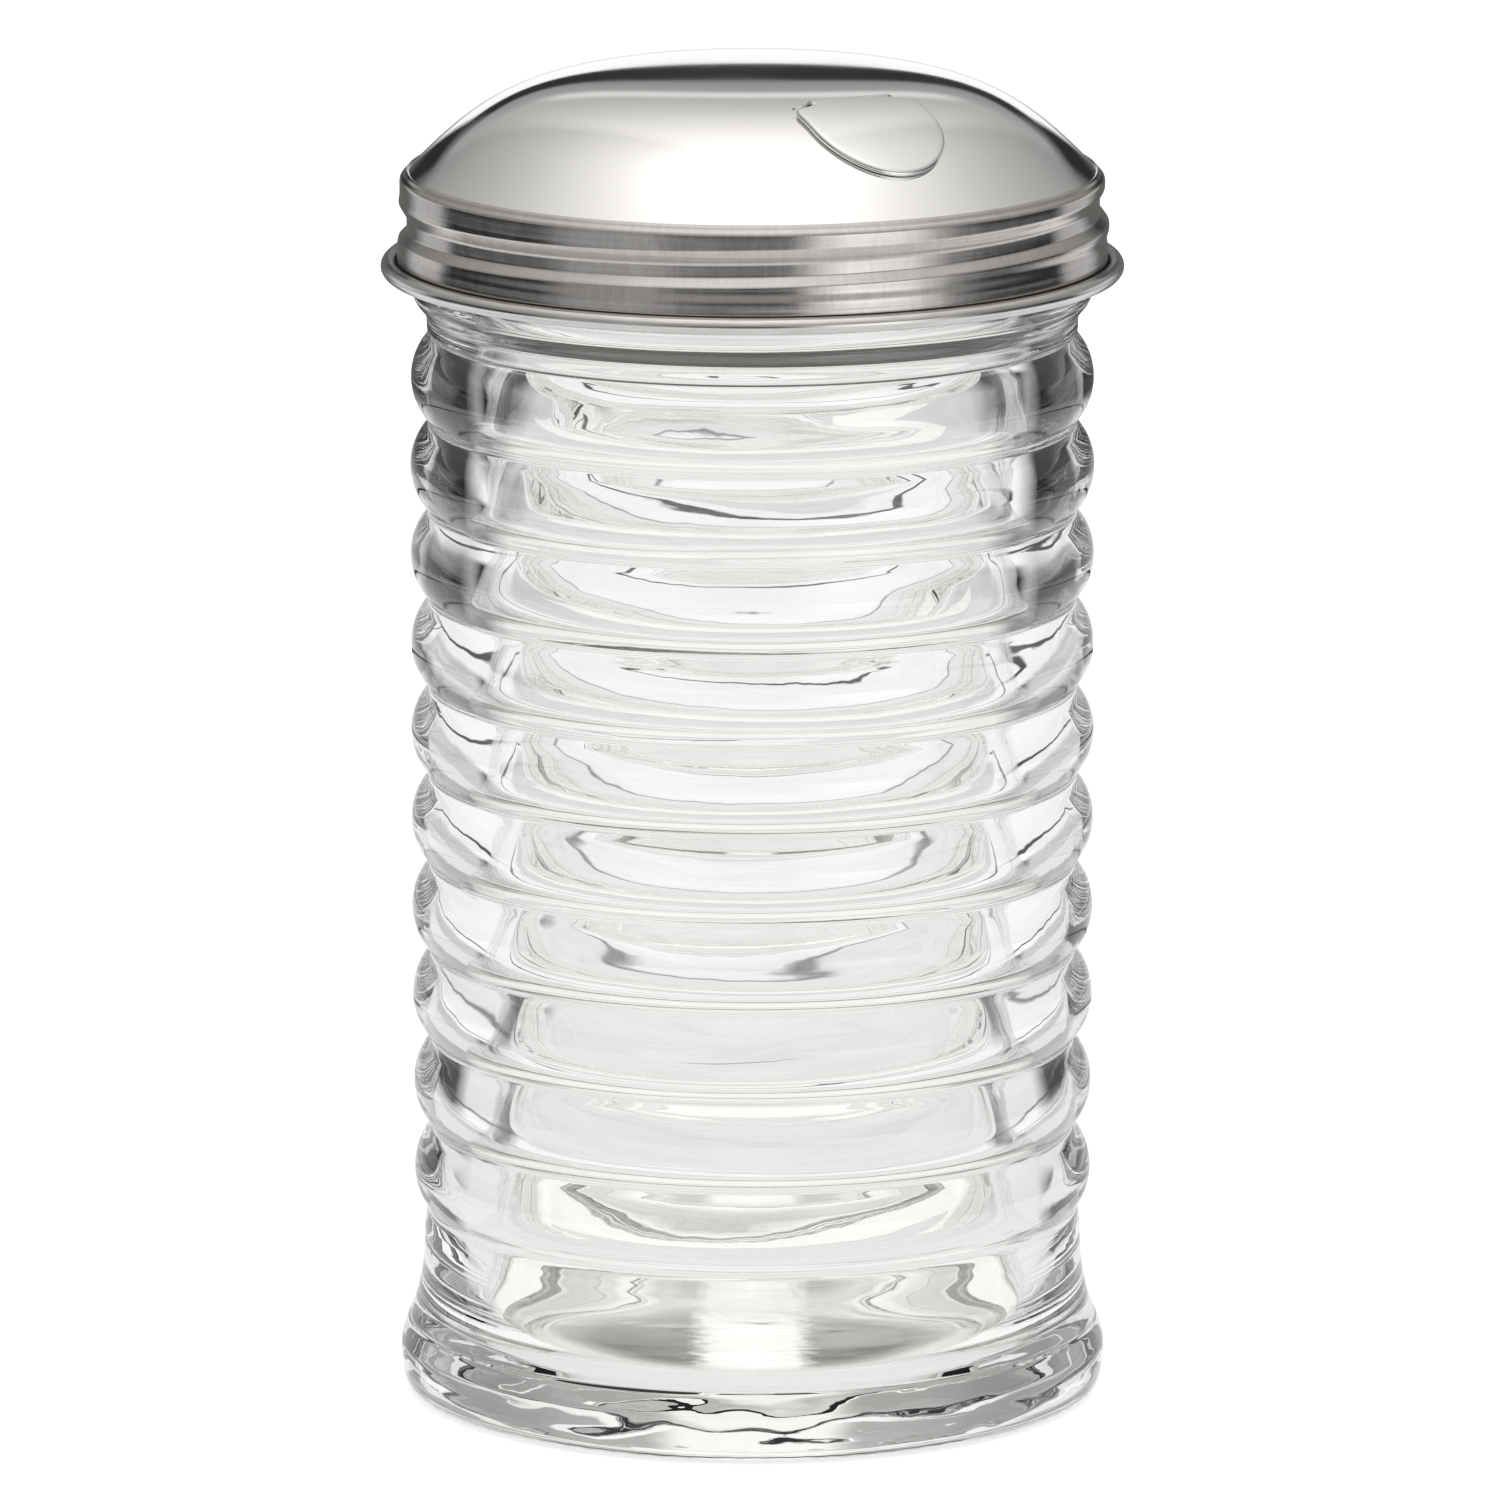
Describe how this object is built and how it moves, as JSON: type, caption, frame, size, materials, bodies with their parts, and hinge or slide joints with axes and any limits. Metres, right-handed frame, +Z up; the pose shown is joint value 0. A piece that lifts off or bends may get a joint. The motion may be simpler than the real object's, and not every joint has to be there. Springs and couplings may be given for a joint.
{
  "type": "sugar dispenser with flap",
  "caption": "Ribbed clear glass sugar dispenser with a low-domed metal screw lid and a small hinged flap that falls open over a pour hole when tipped.",
  "frame": {"origin": "centre of the jar's bearing ring, on the surface it stands on", "axes": "+Z up along the jar's axis, -Y from the axis towards the pour hole and flap, X along the flap's hinge line"},
  "size_m": [0.0806, 0.0806, 0.1462],
  "materials": {
    "clear_glass": "clear pressed glass, glossy, faint grey-green cast in the thick base",
    "lid_metal": "bright polished dome, finely brushed threaded skirt",
    "flap_metal": "bright polished sheet with a rolled-over edge",
    "wire_metal": "plain drawn steel wire"
  },
  "bodies": {
    "jar": {"glass_jar": "clear_glass"},
    "lid": {"lid_cap": "lid_metal", "hinge_wire": "wire_metal"},
    "flap": {"flap": "flap_metal"}
  },
  "joints": [
    {"name": "lid_lift", "type": "slide", "parent": "jar", "child": "lid", "axis": [0, 0, 1], "range_m": [0, 0.045]},
    {"name": "flap_hinge", "type": "hinge", "parent": "lid", "child": "flap", "pos_m": [0, -0.0208, 0.14448], "axis": [-1, 0, 0], "range_deg": [0, 90]}
  ]
}
